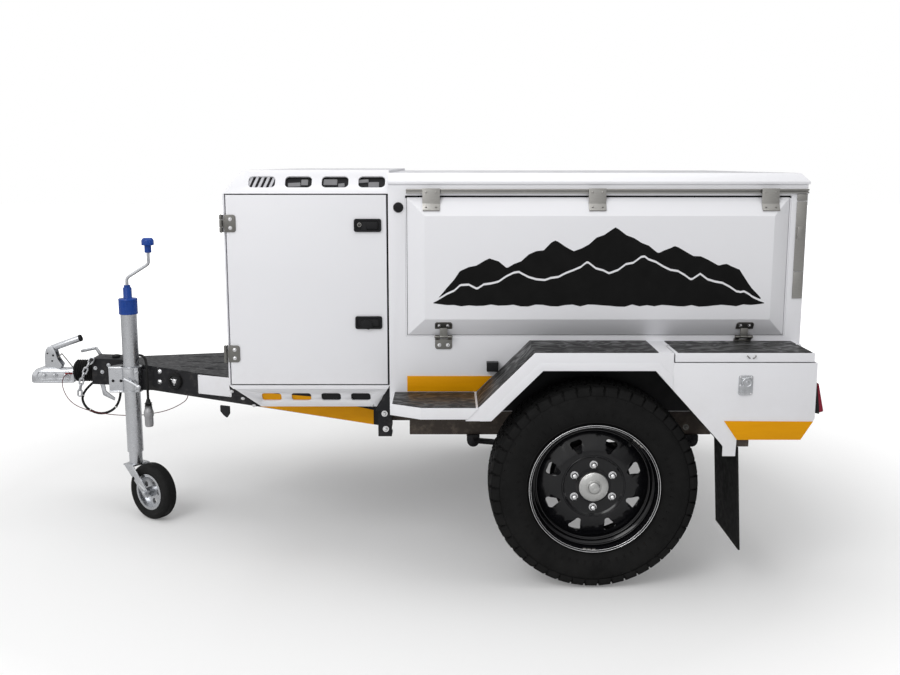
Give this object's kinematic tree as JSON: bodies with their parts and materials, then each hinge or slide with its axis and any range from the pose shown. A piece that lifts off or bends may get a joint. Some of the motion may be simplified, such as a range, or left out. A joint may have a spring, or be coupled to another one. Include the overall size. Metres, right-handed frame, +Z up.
{
  "type": "off-road camping trailer",
  "caption": "Single-axle off-road camping trailer with a nose box, drop-down side doors, rear lockers, an A-frame drawbar and a jockey stand.",
  "frame": {"origin": "on the ground under the middle of the trailer's length and width", "axes": "+X towards the rear, +Y towards the right-hand side, +Z up"},
  "size_m": [2.811, 1.794, 1.325],
  "materials": {
    "white_paint": "satin off-white body paint",
    "chassis_paint": "weathered dark brown-grey chassis paint",
    "black_paint": "black frame paint",
    "deck_plate": "scuffed dark deck plate",
    "tread_plate": "black non-slip covering",
    "orange": "orange reflective band",
    "galvanised": "galvanised steel",
    "stainless": "stainless steel",
    "black_plastic": "moulded black plastic",
    "blue_plastic": "blue moulded plastic",
    "lens": "dark red lamp lens",
    "tyre": "black tyre rubber",
    "rim": "gloss black wheel",
    "hub_metal": "polished hub and nuts",
    "rubber": "black rubber",
    "cable_red": "thin red-sheathed cable",
    "cable_black": "black cable sheath"
  },
  "bodies": {
    "trailer": {"chassis_frame": "chassis_paint", "drawbar": "black_paint", "drawbar_deck": "deck_plate", "frame_brackets": "black_paint", "body_shell": "white_paint", "roof_pan": "white_paint", "nose_shell": "white_paint", "nose_vents": "white_paint", "awning_rails": "stainless", "corner_strips": "stainless", "mudguards": "white_paint", "tread_plates": "tread_plate", "step_boards": "white_paint", "lockers": "white_paint", "locker_latches": "stainless", "mudflaps": "rubber", "axle_beam": "black_paint", "leaf_springs": "black_paint", "spring_hangers": "black_paint", "lamp_housings": "black_plastic", "lamp_lenses": "lens", "colour_bands": "orange", "coupler_body": "galvanised", "coupler_handle": "galvanised", "handbrake_lever": "galvanised", "shaft_bellows": "rubber", "jockey_clamp": "galvanised", "safety_chain": "galvanised", "breakaway_cable": "cable_red", "lead_cable": "cable_black", "trailer_plug": "hub_metal", "side_markers": "black_plastic", "body_fittings": "black_plastic", "hinge_leaves": "stainless"},
    "wheel_left": {"tyre_left": "tyre", "rim_left": "rim", "hub_left": "hub_metal"},
    "wheel_right": {"tyre_right": "tyre", "rim_right": "rim", "hub_right": "hub_metal"},
    "jockey_tube": {"jockey_outer_tube": "galvanised", "jockey_cap": "blue_plastic", "jockey_crank": "galvanised"},
    "jockey_stem": {"jockey_inner_tube": "galvanised"},
    "jockey_swivel": {"jockey_fork": "galvanised"},
    "jockey_wheel": {"jockey_tyre": "rubber", "jockey_rim": "galvanised"},
    "nose_door_left": {"nose_door_left": "white_paint", "nose_fittings_left": "black_plastic"},
    "side_door_left": {"side_door_left": "white_paint", "side_fittings_left": "stainless"},
    "locker_lid_left": {"locker_lid_left": "white_paint"},
    "nose_door_right": {"nose_door_right": "white_paint", "nose_fittings_right": "black_plastic"},
    "side_door_right": {"side_door_right": "white_paint", "side_fittings_right": "stainless"},
    "locker_lid_right": {"locker_lid_right": "white_paint"},
    "rear_door": {"rear_door": "white_paint", "rear_door_fittings": "black_plastic"}
  },
  "joints": [
    {"name": "wheel_left_spin", "type": "hinge", "parent": "trailer", "child": "wheel_left", "pos_m": [0.7005, -0.777, 0.334], "axis": [0, 1, 0], "continuous": true},
    {"name": "wheel_right_spin", "type": "hinge", "parent": "trailer", "child": "wheel_right", "pos_m": [0.7005, 0.777, 0.334], "axis": [0, 1, 0], "continuous": true},
    {"name": "jockey_clamp_slide", "type": "slide", "parent": "trailer", "child": "jockey_tube", "axis": [0, 0, 1], "range_m": [-0.19, 0.1]},
    {"name": "jockey_wind", "type": "slide", "parent": "jockey_tube", "child": "jockey_stem", "axis": [0, 0, 1], "range_m": [-0.18, 0.035]},
    {"name": "jockey_swivel_turn", "type": "hinge", "parent": "jockey_stem", "child": "jockey_swivel", "pos_m": [-0.9715, -0.132, 0.2], "axis": [0, 0, 1], "continuous": true},
    {"name": "jockey_wheel_spin", "type": "hinge", "parent": "jockey_swivel", "child": "jockey_wheel", "pos_m": [-0.89368, -0.18649, 0.108], "axis": [0.5736, 0.8192, 0], "continuous": true},
    {"name": "nose_door_left_hinge", "type": "hinge", "parent": "trailer", "child": "nose_door_left", "pos_m": [-0.4905, -0.671, 0.94], "axis": [0, 0, -1], "range_deg": [0, 150]},
    {"name": "side_door_left_hinge", "type": "hinge", "parent": "trailer", "child": "side_door_left", "pos_m": [0.7005, -0.685, 0.79], "axis": [1, 0, 0], "range_deg": [0, 82]},
    {"name": "locker_lid_left_hinge", "type": "hinge", "parent": "trailer", "child": "locker_lid_left", "pos_m": [1.1505, -0.733, 0.768], "axis": [1, 0, 0], "range_deg": [-90, 0]},
    {"name": "nose_door_right_hinge", "type": "hinge", "parent": "trailer", "child": "nose_door_right", "pos_m": [-0.4905, 0.671, 0.94], "axis": [0, 0, 1], "range_deg": [0, 150]},
    {"name": "side_door_right_hinge", "type": "hinge", "parent": "trailer", "child": "side_door_right", "pos_m": [0.7005, 0.685, 0.79], "axis": [-1, 0, 0], "range_deg": [0, 82]},
    {"name": "locker_lid_right_hinge", "type": "hinge", "parent": "trailer", "child": "locker_lid_right", "pos_m": [1.1505, 0.733, 0.768], "axis": [-1, 0, 0], "range_deg": [-90, 0]},
    {"name": "rear_door_hinge", "type": "hinge", "parent": "trailer", "child": "rear_door", "pos_m": [1.3975, 0.568, 0.9], "axis": [0, 0, 1], "range_deg": [0, 105]}
  ]
}
